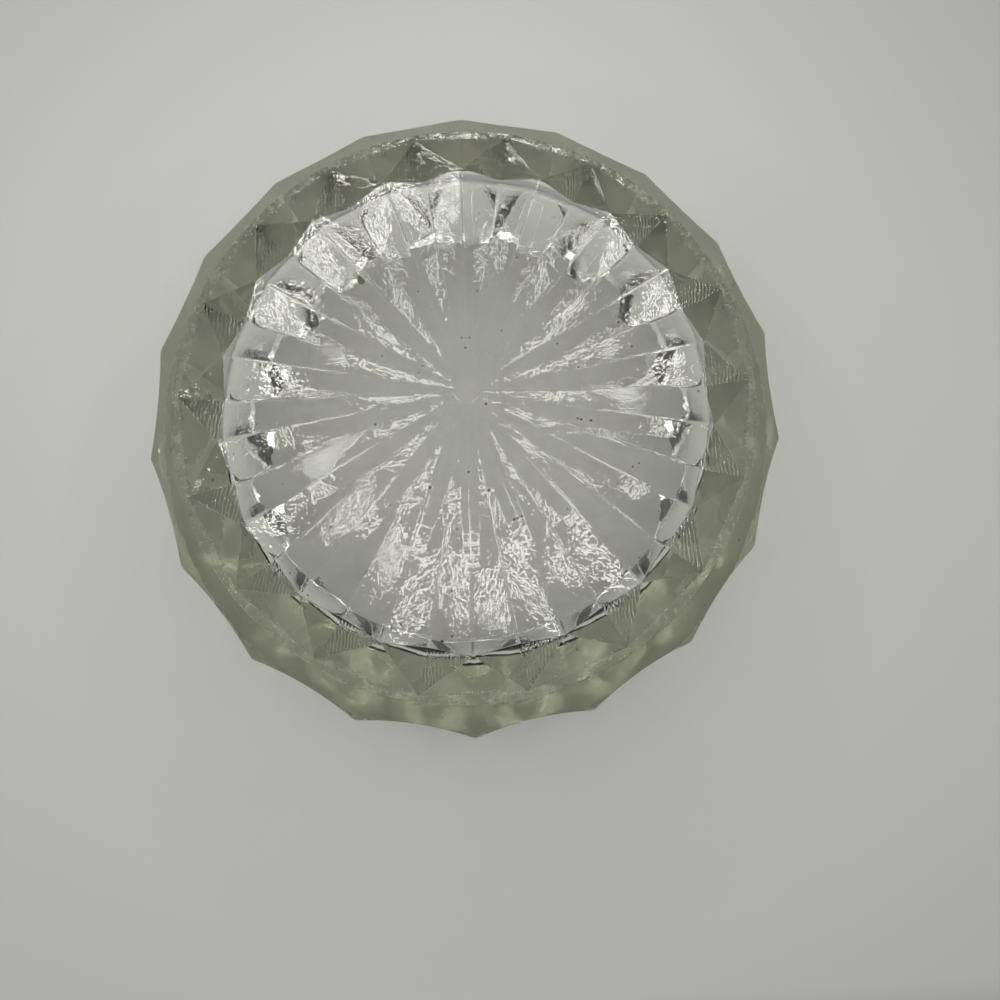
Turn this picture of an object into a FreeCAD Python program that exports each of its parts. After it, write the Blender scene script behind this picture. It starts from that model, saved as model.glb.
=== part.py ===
"""Pressed glass dish, lying mouth down.

A heavy one-piece dish of clear glass.  Its base is on top: a narrow foot ring
round a pressed recess, which holds a bevel of small facets and a star.  Its
open mouth is at the floor, and its wall is a ring of shallow flutes.
Millimetres, +Z up, origin on the axis in the plane of the mouth's rim.
"""
import FreeCAD
import Part
import math
import os

V = FreeCAD.Vector

# Driving dimensions
FLUTES = 18                # flutes round the wall, and grooves in the star
CORNER_RADIUS = 75.0       # axis to the ridge between two flutes
FLUTE_BOW = 1.5            # how far a flute bows in from the line between its ridges
HEIGHT = 64.5              # rim to the foot ring
FOOT_RADIUS = 67.4         # axis to the foot ring's outer edge
SHOULDER_SLOPE = 40.0      # fall of the plain shoulder outside the foot ring, degrees
TIP_RADIUS = 66.2          # axis to the outer points of the bevel's facets
STAR_RADIUS = 58.2         # axis to the outer corners of the star
STAR_SINK = 2.2            # those corners below the foot ring
GROOVE_DEPTH = 3.8         # depth of a star groove at its outer end
DISC_RADIUS = 3.2          # plain disc at the star's centre
DISC_RISE = 0.15           # disc's face above the star's centre
BASE_THICKNESS = 11.0      # foot ring to the hollow's roof
ROOF_RADIUS = 63.4         # hollow, at the base
MOUTH_RADIUS = 64.6        # hollow, at the rim
ROOF_FILLET = 9.0          # between the hollow's wall and the base
RIM_EDGE = 0.8             # rounding of the rim's inner edge
OVERHANG = 5.0             # how far the cutting shapes run past the glass

STEP = 2 * math.pi / FLUTES
STAR_Z = HEIGHT - STAR_SINK
ROOF_Z = HEIGHT - BASE_THICKNESS


def polar(radius, turns, z):
    """Point at a radius and height, counted in flutes round the axis from +Y."""
    angle = math.pi / 2 + turns * STEP
    return V(radius * math.cos(angle), radius * math.sin(angle), z)


def fluted_column():
    """Column with the scalloped outline of the wall."""
    middle_radius = CORNER_RADIUS * math.cos(STEP / 2) - FLUTE_BOW
    arcs = []
    for flute in range(FLUTES):
        start = polar(CORNER_RADIUS, flute, 0)
        middle = polar(middle_radius, flute + 0.5, 0)
        end = polar(CORNER_RADIUS, flute + 1, 0)
        arcs.append(Part.Arc(start, middle, end).toShape())
    outline = Part.Face(Part.Wire(arcs))
    return outline.extrude(V(0, 0, HEIGHT))


def shouldered_blank():
    """Round blank whose top edge falls away outside the foot ring."""
    skirt_radius = CORNER_RADIUS + OVERHANG
    skirt_drop = (skirt_radius - FOOT_RADIUS) * math.tan(math.radians(SHOULDER_SLOPE))
    shoulder = Part.makeCone(skirt_radius, FOOT_RADIUS, skirt_drop, V(0, 0, HEIGHT - skirt_drop))
    return Part.makeCylinder(skirt_radius, HEIGHT - skirt_drop).fuse(shoulder)


def recess():
    """The pressed recess inside the foot ring, as a solid to cut away."""
    groove_radius = STAR_RADIUS * math.cos(STEP / 2)
    centre = V(0, 0, STAR_Z)
    lid = V(0, 0, HEIGHT + OVERHANG)
    polygons = []
    for flute in range(FLUTES):
        corner = polar(STAR_RADIUS, flute, STAR_Z)
        groove = polar(groove_radius, flute + 0.5, STAR_Z - GROOVE_DEPTH)
        next_corner = polar(STAR_RADIUS, flute + 1, STAR_Z)
        tip = polar(TIP_RADIUS, flute + 0.5, HEIGHT)
        next_tip = polar(TIP_RADIUS, flute + 1.5, HEIGHT)
        above = polar(TIP_RADIUS, flute + 0.5, HEIGHT + OVERHANG)
        next_above = polar(TIP_RADIUS, flute + 1.5, HEIGHT + OVERHANG)
        polygons.append([centre, corner, groove])
        polygons.append([centre, groove, next_corner])
        polygons.append([corner, tip, groove])
        polygons.append([groove, tip, next_corner])
        polygons.append([next_corner, tip, next_tip])
        polygons.append([tip, above, next_above, next_tip])
        polygons.append([lid, next_above, above])
    faces = [Part.Face(Part.makePolygon(points + points[:1])) for points in polygons]
    solid = Part.makeSolid(Part.makeShell(faces))
    if solid.Volume < 0:
        solid.reverse()
    return solid


def centre_disc():
    """Plain raised disc where the star's rays start."""
    foot_z = ROOF_Z + 1
    return Part.makeCylinder(DISC_RADIUS, STAR_Z + DISC_RISE - foot_z, V(0, 0, foot_z))


def hollow():
    """The hollow that opens at the rim, as a solid to cut away."""
    draft = (MOUTH_RADIUS - ROOF_RADIUS) / ROOF_Z
    cone = Part.makeCone(
        MOUTH_RADIUS + draft * OVERHANG, ROOF_RADIUS, ROOF_Z + OVERHANG, V(0, 0, -OVERHANG))
    roof_edges = []
    for edge in cone.Edges:
        box = edge.BoundBox
        if box.ZLength < 0.01 and abs(box.ZMin - ROOF_Z) < 0.01:
            roof_edges.append(edge)
    return cone.makeFillet(ROOF_FILLET, roof_edges)


def round_rim(solid):
    """Round the rim's inner edge, which is the circle at the mouth."""
    inner_edges = []
    for edge in solid.Edges:
        box = edge.BoundBox
        if box.ZMax < 0.01 and box.XMax < MOUTH_RADIUS + 0.01:
            inner_edges.append(edge)
    return solid.makeFillet(RIM_EDGE, inner_edges)


def glass_dish():
    """The whole dish."""
    blank = fluted_column().common(shouldered_blank())
    pressed = blank.cut(recess()).fuse(centre_disc())
    return round_rim(pressed.cut(hollow()).removeSplitter())


os.makedirs("parts", exist_ok=True)
dish = glass_dish()
dish.exportStep("parts/glass_dish.step")
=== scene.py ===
"""Looks of the pressed glass dish: its final mesh, its glass, and the light and camera."""
import bmesh
import bpy
import math
from mathutils import Matrix, Vector


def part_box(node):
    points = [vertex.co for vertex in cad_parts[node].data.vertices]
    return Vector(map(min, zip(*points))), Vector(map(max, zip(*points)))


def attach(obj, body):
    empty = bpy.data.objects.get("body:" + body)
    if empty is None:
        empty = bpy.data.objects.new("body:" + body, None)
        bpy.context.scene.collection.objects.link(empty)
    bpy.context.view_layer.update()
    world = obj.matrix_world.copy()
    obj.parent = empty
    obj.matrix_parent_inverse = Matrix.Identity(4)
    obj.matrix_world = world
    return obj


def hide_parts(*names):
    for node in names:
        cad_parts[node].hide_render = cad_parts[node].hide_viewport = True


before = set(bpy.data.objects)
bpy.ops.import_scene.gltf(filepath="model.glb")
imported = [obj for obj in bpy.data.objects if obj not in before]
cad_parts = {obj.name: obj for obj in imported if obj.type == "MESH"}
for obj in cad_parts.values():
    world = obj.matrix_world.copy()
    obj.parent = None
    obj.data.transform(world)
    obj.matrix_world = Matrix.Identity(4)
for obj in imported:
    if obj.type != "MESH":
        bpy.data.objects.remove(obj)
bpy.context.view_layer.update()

# The dish's sizes, in metres.  The outline and the height come from the frame.
LOW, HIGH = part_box("glass_dish")
MM = 0.001
FLUTES = 18
STEP = 2 * math.pi / FLUTES
HEIGHT = HIGH.z - LOW.z
CORNER_RADIUS = HIGH.y
FLUTE_BOW = 1.5 * MM
FLUTE_SEGMENTS = 12
WALL_ROWS = 8
FOOT_RADIUS = 67.4 * MM
SHOULDER_SLOPE = math.radians(40)
TIP_RADIUS = 66.2 * MM
STAR_RADIUS = 58.2 * MM
STAR_SINK = 2.2 * MM
GROOVE_DEPTH = 3.8 * MM
DISC_RADIUS = 3.2 * MM
BASE_THICKNESS = 11.0 * MM
ROOF_RADIUS = 63.4 * MM
MOUTH_RADIUS = 64.6 * MM
ROOF_FILLET = 9.0 * MM
FILLET_STEPS = 12
ROOF_Z = HEIGHT - BASE_THICKNESS
EDGE_ROUND = 1.1 * MM      # rounding of the wall's ridges
EDGE_SEGMENTS = 3
PRESSED_WEIGHT = 0.2       # rounding of the pressed edges, as a share of it
RAY_ROUND = 0.028          # half-width of the rounding on the star's ridges and grooves, in flutes
RAY_SHARES = (0.0, 0.35, 0.7, 1.0)
SHARP_ANGLE = math.radians(3)
CORNER_ANGLE = math.radians(30)
SAME = 1e-6                # lengths closer than this are equal
MARGIN = 0.1 * MM          # allowance when edges are picked by where they are
AREA_WEIGHT = 100          # how far large faces set the shading of small ones, at most 100

# The glass's look.  Scales are per metre; heights are in metres.
SWELL_SCALE = 130.0
SWELL_HEIGHT = 0.07 * MM
SWELL_DETAIL = 1.0
RIPPLE_SCALE = 520.0
RIPPLE_HEIGHT = 0.036 * MM
RIPPLE_DETAIL = 2.0
RIB_SCALE = 420.0
RIB_HEIGHT = 0.07 * MM
RIB_DISTORTION = 5.0
RIB_DETAIL = 2.0
SPECK_SCALE = 450.0
SPECK_SHARE = 0.20         # share of the cells that hold a speck
SPECK_REACH = 0.16         # largest speck, in cells
SPECK_TONE = (0.25, 0.24, 0.22, 1)
WEAR_SCALE = 900.0
WEAR_DETAIL = 3.0
WEAR_EDGES = (0.45, 0.65)
WEAR_DEPTHS = (0.5 * MM, 0.1 * MM)
WEAR_ROUGHNESS = 0.35
IOR = 1.52
TINT = (0.80, 0.83, 0.64, 1)
TINT_DENSITY = 13.0

# The light: the sky's colours and where they blend, and two ring lamps overhead.  The outer
# ring makes the highlights in the star; the inner ring draws light lines on rounded edges.
NEAR_LIGHT = (0.012, 0.012, 0.014, 1)
FAR_LIGHT = (0.34, 0.338, 0.335, 1)
UPPER_LIGHT = (0.22, 0.22, 0.207, 1)
OVERHEAD_LIGHT = (0.65, 0.65, 0.61, 1)
NEAR_BLEND = (-0.55, -0.15)
UPPER_BLEND = (0.3, 0.6)
OVERHEAD_BLEND = (0.80, 0.97)
LAMPS = 16
LAMP_SHIFT = 0.078
LAMP_HEIGHT = 0.27
LAMP_LENGTH = 0.055
LAMP_COLOUR = (1.0, 1.0, 0.92)
OUTER_REACH = 0.214
OUTER_ROWS = 3
OUTER_PITCH = 0.012
OUTER_GAPS = (2, 3, 7, 14)
OUTER_WIDTH = 0.003
OUTER_RADIANCE = 21.0
INNER_REACH = 0.11
INNER_WIDTH = 0.007
INNER_RADIANCE = 16.0

# Floor
FLOOR_HALF = 0.6
FLOOR_NEAR = -0.3
FLOOR_FAR = 0.6
FLOOR_Z = -0.2 * MM
FLOOR_BLEND = (-0.19, -0.15)
FLOOR_TONES = (0.02, 0.68)
FLOOR_ROUGHNESS = 0.5

# Camera: steeply above the dish and a little to its near side, in dish radii from the shoulder
SHOULDER_DROP = 6.44 * MM
CAMERA_SENSOR = 36
CAMERA_LENS = 27.04
CAMERA_SHIFT = -0.147
CAMERA_PLACE = (0.04418, -0.52360, 2.35028)
CAMERA_FORWARD = (0.0270, 0.26934, -0.96267)
CAMERA_UP = (0.02986, 0.96237, 0.27010)


def polar(radius, turns, z):
    """Point at a radius and height, counted in flutes round the axis from +Y."""
    angle = math.pi / 2 + turns * STEP
    return Vector((radius * math.cos(angle), radius * math.sin(angle), z))


def outline_points():
    """The fluted outline for one turn, as (turns, radius), starting at a ridge."""
    half_chord = CORNER_RADIUS * math.sin(STEP / 2)
    chord_distance = CORNER_RADIUS * math.cos(STEP / 2)
    arc_radius = (half_chord ** 2 + FLUTE_BOW ** 2) / (2 * FLUTE_BOW)
    arc_centre = chord_distance - FLUTE_BOW + arc_radius
    half_angle = math.asin(half_chord / arc_radius)
    points = []
    for flute in range(FLUTES):
        for segment in range(FLUTE_SEGMENTS):
            share = 2 * segment / FLUTE_SEGMENTS - 1
            across = arc_radius * math.sin(half_angle * share)
            out = arc_centre - arc_radius * math.cos(half_angle * share)
            points.append((flute + 0.5 + math.atan2(across, out) / STEP, math.hypot(across, out)))
    return points


def star_rim():
    """The star's outer edge for one turn, as (turns, radius, drop).

    Its ridges and grooves are rounded over RAY_ROUND on each side.
    """
    slope = 2 * GROOVE_DEPTH
    near = [RAY_ROUND * share for share in RAY_SHARES]
    points = []
    for ray in range(2 * FLUTES):
        on_groove = ray % 2
        for offset in near + [0.5 - part for part in reversed(near) if part > 0]:
            from_ridge = 0.5 - offset if on_groove else offset
            drop = slope * from_ridge
            if offset < RAY_ROUND:
                blend = slope * (RAY_ROUND - offset) ** 2 / (2 * RAY_ROUND)
                drop += -blend if on_groove else blend
            elif offset > 0.5 - RAY_ROUND:
                blend = slope * (RAY_ROUND - 0.5 + offset) ** 2 / (2 * RAY_ROUND)
                drop += blend if on_groove else -blend
            radius = STAR_RADIUS * math.cos(STEP / 2) / math.cos((0.5 - from_ridge) * STEP)
            points.append((ray / 2 + offset, radius, drop))
    return points


OUTLINE = outline_points()


def ring(mesh, points):
    """Add a ring of vertices."""
    return [mesh.verts.new(point) for point in points]


def circle(mesh, radius, z):
    """Add a round ring of vertices, each in line with a point of the outline."""
    return ring(mesh, (polar(radius, turns, z) for turns, _ in OUTLINE))


def bridge(mesh, outer, inner):
    """Join two rings of vertices with a band of faces."""
    for k in range(len(outer)):
        n = (k + 1) % len(outer)
        mesh.faces.new((outer[k], outer[n], inner[n], inner[k]))


def add_recess(mesh):
    """Add the centre disc, the star's sectors and the bevel's facets.

    Returns the bevel's outer points and the facets that carry the grain.
    """
    star_z = HEIGHT - STAR_SINK
    rim = star_rim()
    disc = ring(mesh, (polar(DISC_RADIUS, turns, star_z) for turns, radius, drop in rim))
    star = ring(mesh, (polar(radius, turns, star_z - drop) for turns, radius, drop in rim))
    tips = ring(mesh, (polar(TIP_RADIUS, flute + 0.5, HEIGHT) for flute in range(FLUTES)))
    mesh.faces.new(disc)
    bridge(mesh, star, disc)
    grainy = []
    ray_points = len(rim) // (2 * FLUTES)
    for k in range(2 * FLUTES):
        side = [star[(k * ray_points + i) % len(star)] for i in range(ray_points + 1)]
        facet = mesh.faces.new((tips[k // 2], *side))
        if k % 2:
            grainy.append(facet)
    for flute in range(FLUTES):
        corner = star[2 * ray_points * ((flute + 1) % FLUTES)]
        mesh.faces.new((corner, tips[flute], tips[(flute + 1) % FLUTES]))
    return tips, grainy


def add_shoulder(mesh, tips):
    """Add the foot ring round the bevel's outer points, and the shoulder outside it.

    Returns the shoulder's lower edge, which has the fluted outline.
    """
    foot = circle(mesh, FOOT_RADIUS, HEIGHT)
    half = FLUTE_SEGMENTS // 2
    for flute in range(FLUTES):
        ridge = flute * FLUTE_SEGMENTS
        around = [foot[(ridge + k) % len(foot)] for k in range(-half, half + 1)]
        mesh.faces.new((tips[flute - 1], *around, tips[flute]))
    slope = math.tan(SHOULDER_SLOPE)
    edge = ring(mesh, (
        polar(radius, turns, HEIGHT - (radius - FOOT_RADIUS) * slope) for turns, radius in OUTLINE))
    bridge(mesh, foot, edge)
    return edge


def add_wall(mesh, top_edge):
    """Add the fluted wall and the flat rim.  Returns the rim's inner edge."""
    above = top_edge
    for row in range(1, WALL_ROWS + 1):
        share = row / WALL_ROWS
        below = ring(mesh, (
            Vector((top.co.x, top.co.y, top.co.z * (1 - share))) for top in top_edge))
        bridge(mesh, above, below)
        above = below
    mouth = circle(mesh, MOUTH_RADIUS, 0)
    bridge(mesh, above, mouth)
    return mouth


def add_hollow(mesh, mouth):
    """Add the hollow's wall, fillet and roof, from the mouth up."""
    below = mouth
    for step in range(FILLET_STEPS + 1):
        angle = math.pi / 2 * step / FILLET_STEPS
        radius = ROOF_RADIUS - ROOF_FILLET * (1 - math.cos(angle))
        above = circle(mesh, radius, ROOF_Z - ROOF_FILLET * (1 - math.sin(angle)))
        bridge(mesh, below, above)
        below = above
    mesh.faces.new(reversed(below))


def weigh_edges(mesh):
    """Weight the edges to round: the wall's ridges in full, the rim and the pressed edges less."""
    weight = mesh.edges.layers.float.new("bevel_weight_edge")
    for edge in mesh.edges:
        radii = [vert.co.xy.length for vert in edge.verts]
        heights = [vert.co.z for vert in edge.verts]
        bend = edge.calc_face_angle(0)
        inside = max(radii) < MOUTH_RADIUS + MM
        if min(radii) < DISC_RADIUS + MARGIN:
            continue
        if inside and max(heights) < ROOF_Z + MARGIN:
            if max(heights) < SAME and bend > CORNER_ANGLE:
                edge[weight] = PRESSED_WEIGHT
        elif bend > SHARP_ANGLE:
            upright = abs(radii[0] - radii[1]) < SAME and abs(heights[0] - heights[1]) > MM
            edge[weight] = 1.0 if upright and not inside else PRESSED_WEIGHT


def mark_grain(mesh, facets):
    """Mark the facets that carry the grain, for the material."""
    grain = mesh.loops.layers.float.new("grain")
    for facet in facets:
        for loop in facet.loops:
            loop[grain] = 1.0


def build_dish():
    """The dish's glass as one closed mesh, with its edges rounded."""
    mesh = bmesh.new()
    tips, grainy = add_recess(mesh)
    top_edge = add_shoulder(mesh, tips)
    mouth = add_wall(mesh, top_edge)
    add_hollow(mesh, mouth)
    bmesh.ops.recalc_face_normals(mesh, faces=mesh.faces)
    weigh_edges(mesh)
    mark_grain(mesh, grainy)
    data = bpy.data.meshes.new("glass_dish_body")
    mesh.to_mesh(data)
    mesh.free()
    data.shade_smooth()
    body = bpy.data.objects.new("glass_dish_body", data)
    bpy.context.scene.collection.objects.link(body)
    bevel = body.modifiers.new("edges", "BEVEL")
    bevel.limit_method = "WEIGHT"
    bevel.width = EDGE_ROUND
    bevel.segments = EDGE_SEGMENTS
    bevel.use_clamp_overlap = True
    normals = body.modifiers.new("normals", "WEIGHTED_NORMAL")
    normals.weight = AREA_WEIGHT
    return body


def glass():
    """Fire-polished glass: rippled, grained on the bevel, specked, and worn on the foot ring."""
    material = bpy.data.materials.new("clear_glass")
    material.use_nodes = True
    nodes = material.node_tree.nodes
    links = material.node_tree.links
    shader = nodes["Principled BSDF"]
    shader.inputs["IOR"].default_value = IOR
    shader.inputs["Transmission Weight"].default_value = 1.0
    place = nodes.new("ShaderNodeTexCoord").outputs["Object"]

    def noise(scale, detail):
        node = nodes.new("ShaderNodeTexNoise")
        node.inputs["Scale"].default_value = scale
        node.inputs["Detail"].default_value = detail
        links.new(place, node.inputs["Vector"])
        return node.outputs["Fac"]

    def remap(socket, low, high, to_low, to_high):
        node = nodes.new("ShaderNodeMapRange")
        limits = {"From Min": low, "From Max": high, "To Min": to_low, "To Max": to_high}
        for name, value in limits.items():
            node.inputs[name].default_value = value
        links.new(socket, node.inputs["Value"])
        return node.outputs["Result"]

    def combine(operation, first, second):
        node = nodes.new("ShaderNodeMath")
        node.operation = operation
        for socket, value in zip(node.inputs, (first, second)):
            if isinstance(value, float):
                socket.default_value = value
            else:
                links.new(value, socket)
        return node.outputs[0]

    def bump(height, distance, below=None):
        node = nodes.new("ShaderNodeBump")
        node.inputs["Strength"].default_value = 1.0
        node.inputs["Distance"].default_value = distance
        links.new(height, node.inputs["Height"])
        if below is not None:
            links.new(below, node.inputs["Normal"])
        return node.outputs["Normal"]

    # Ripples of the pressed surface, and the fine grain on half of the bevel's facets
    grain = nodes.new("ShaderNodeAttribute")
    grain.attribute_name = "grain"
    ribs = nodes.new("ShaderNodeTexWave")
    ribs.inputs["Scale"].default_value = RIB_SCALE
    ribs.inputs["Distortion"].default_value = RIB_DISTORTION
    ribs.inputs["Detail"].default_value = RIB_DETAIL
    links.new(place, ribs.inputs["Vector"])
    grained = combine("MULTIPLY", ribs.outputs["Fac"], grain.outputs["Fac"])
    ripples = bump(noise(SWELL_SCALE, SWELL_DETAIL), SWELL_HEIGHT)
    ripples = bump(noise(RIPPLE_SCALE, RIPPLE_DETAIL), RIPPLE_HEIGHT, ripples)
    links.new(bump(grained, RIB_HEIGHT, ripples), shader.inputs["Normal"])

    # Sparse dark specks
    spots = nodes.new("ShaderNodeTexVoronoi")
    spots.inputs["Scale"].default_value = SPECK_SCALE
    links.new(place, spots.inputs["Vector"])
    chance = nodes.new("ShaderNodeSeparateColor")
    links.new(spots.outputs["Color"], chance.inputs[0])
    size = remap(chance.outputs[0], 1 - SPECK_SHARE, 1.0, 0.0, SPECK_REACH)
    speck = combine("LESS_THAN", spots.outputs["Distance"], size)
    tone = nodes.new("ShaderNodeMix")
    tone.data_type = "RGBA"
    links.new(speck, tone.inputs[0])
    tone.inputs[6].default_value = (1, 1, 1, 1)
    tone.inputs[7].default_value = SPECK_TONE
    links.new(tone.outputs[2], shader.inputs["Base Color"])

    # Wear where the foot ring has rubbed
    height = nodes.new("ShaderNodeSeparateXYZ")
    links.new(place, height.inputs[0])
    below, above = WEAR_DEPTHS
    on_foot = remap(height.outputs["Z"], HEIGHT - below, HEIGHT - above, 0.0, 1.0)
    rubbed = remap(noise(WEAR_SCALE, WEAR_DETAIL), *WEAR_EDGES, 0.0, WEAR_ROUGHNESS)
    links.new(combine("MULTIPLY", on_foot, rubbed), shader.inputs["Roughness"])

    tint = nodes.new("ShaderNodeVolumeAbsorption")
    tint.inputs["Color"].default_value = TINT
    tint.inputs["Density"].default_value = TINT_DENSITY
    links.new(tint.outputs[0], nodes["Material Output"].inputs["Volume"])
    return material


def build_floor():
    """Pale floor, which darkens at its near end, past the picture's edge."""
    mesh = bpy.data.meshes.new("floor")
    corners = (
        (-FLOOR_HALF, FLOOR_NEAR), (FLOOR_HALF, FLOOR_NEAR),
        (FLOOR_HALF, FLOOR_FAR), (-FLOOR_HALF, FLOOR_FAR))
    mesh.from_pydata([(x, y, FLOOR_Z) for x, y in corners], [], [(0, 1, 2, 3)])
    look = bpy.data.materials.new("floor")
    look.use_nodes = True
    nodes = look.node_tree.nodes
    links = look.node_tree.links
    place = nodes.new("ShaderNodeTexCoord")
    parts = nodes.new("ShaderNodeSeparateXYZ")
    tone = nodes.new("ShaderNodeMapRange")
    limits = (*FLOOR_BLEND, *FLOOR_TONES)
    for name, value in zip(("From Min", "From Max", "To Min", "To Max"), limits):
        tone.inputs[name].default_value = value
    links.new(place.outputs["Object"], parts.inputs[0])
    links.new(parts.outputs["Y"], tone.inputs["Value"])
    shader = nodes["Principled BSDF"]
    links.new(tone.outputs["Result"], shader.inputs["Base Color"])
    shader.inputs["Roughness"].default_value = FLOOR_ROUGHNESS
    mesh.materials.append(look)
    floor = bpy.data.objects.new("floor", mesh)
    bpy.context.scene.collection.objects.link(floor)
    return floor


def build_world():
    """Plain studio light: dark low down on the near side, pale elsewhere, brightest overhead."""
    world = bpy.data.worlds.new("world")
    bpy.context.scene.world = world
    world.use_nodes = True
    nodes = world.node_tree.nodes
    links = world.node_tree.links
    direction = nodes.new("ShaderNodeTexCoord")
    parts = nodes.new("ShaderNodeSeparateXYZ")
    links.new(direction.outputs["Generated"], parts.inputs[0])

    def fade(axis, edges, first, second):
        """Blend from the first light to the second between two values of a direction's axis."""
        share = nodes.new("ShaderNodeMapRange")
        share.interpolation_type = "SMOOTHSTEP"
        share.inputs["From Min"].default_value = edges[0]
        share.inputs["From Max"].default_value = edges[1]
        links.new(parts.outputs[axis], share.inputs["Value"])
        blend = nodes.new("ShaderNodeMix")
        blend.data_type = "RGBA"
        links.new(share.outputs["Result"], blend.inputs[0])
        for socket, value in ((blend.inputs[6], first), (blend.inputs[7], second)):
            if isinstance(value, tuple):
                socket.default_value = value
            else:
                links.new(value, socket)
        return blend.outputs[2]

    around = fade("Y", NEAR_BLEND, NEAR_LIGHT, FAR_LIGHT)
    upper = fade("Z", UPPER_BLEND, around, UPPER_LIGHT)
    whole = fade("Z", OVERHEAD_BLEND, upper, OVERHEAD_LIGHT)
    links.new(whole, nodes["Background"].inputs["Color"])


def lamp(turn, reach, width, radiance):
    """One strip of a ring lamp, facing down."""
    light = bpy.data.lights.new("lamp", "AREA")
    light.shape = "RECTANGLE"
    light.size = LAMP_LENGTH
    light.size_y = width
    light.color = LAMP_COLOUR
    light.energy = radiance * LAMP_LENGTH * width * math.pi
    strip = bpy.data.objects.new("lamp", light)
    bpy.context.scene.collection.objects.link(strip)
    strip.location = (reach * math.sin(turn), LAMP_SHIFT + reach * math.cos(turn), LAMP_HEIGHT)
    strip.rotation_euler = (0, 0, -turn)


def build_lamps():
    """The two ring lamps: the outer one has rows of strips, with gaps, and the inner one row."""
    for k in range(LAMPS):
        turn = 2 * math.pi * (k + 0.5) / LAMPS
        if k not in OUTER_GAPS:
            for row in range(OUTER_ROWS):
                lamp(turn, OUTER_REACH + row * OUTER_PITCH, OUTER_WIDTH, OUTER_RADIANCE)
        lamp(turn, INNER_REACH, INNER_WIDTH, INNER_RADIANCE)


def build_camera():
    """The camera, at the photograph's viewing angle."""
    data = bpy.data.cameras.new("camera")
    data.sensor_width = CAMERA_SENSOR
    data.lens = CAMERA_LENS
    data.shift_y = CAMERA_SHIFT
    camera = bpy.data.objects.new("camera", data)
    bpy.context.scene.collection.objects.link(camera)
    place = Vector(CAMERA_PLACE) * CORNER_RADIUS
    place.z += HEIGHT - SHOULDER_DROP
    forward = Vector(CAMERA_FORWARD).normalized()
    right = forward.cross(Vector(CAMERA_UP)).normalized()
    turn = Matrix((right, right.cross(forward), -forward)).transposed().to_4x4()
    camera.matrix_world = Matrix.Translation(place) @ turn
    return camera


dish = build_dish()
dish.data.materials.append(glass())
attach(dish, "root")
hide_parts("glass_dish")
build_floor()
build_world()
build_lamps()
bpy.context.scene.camera = build_camera()
bpy.context.scene.view_settings.view_transform = "Standard"
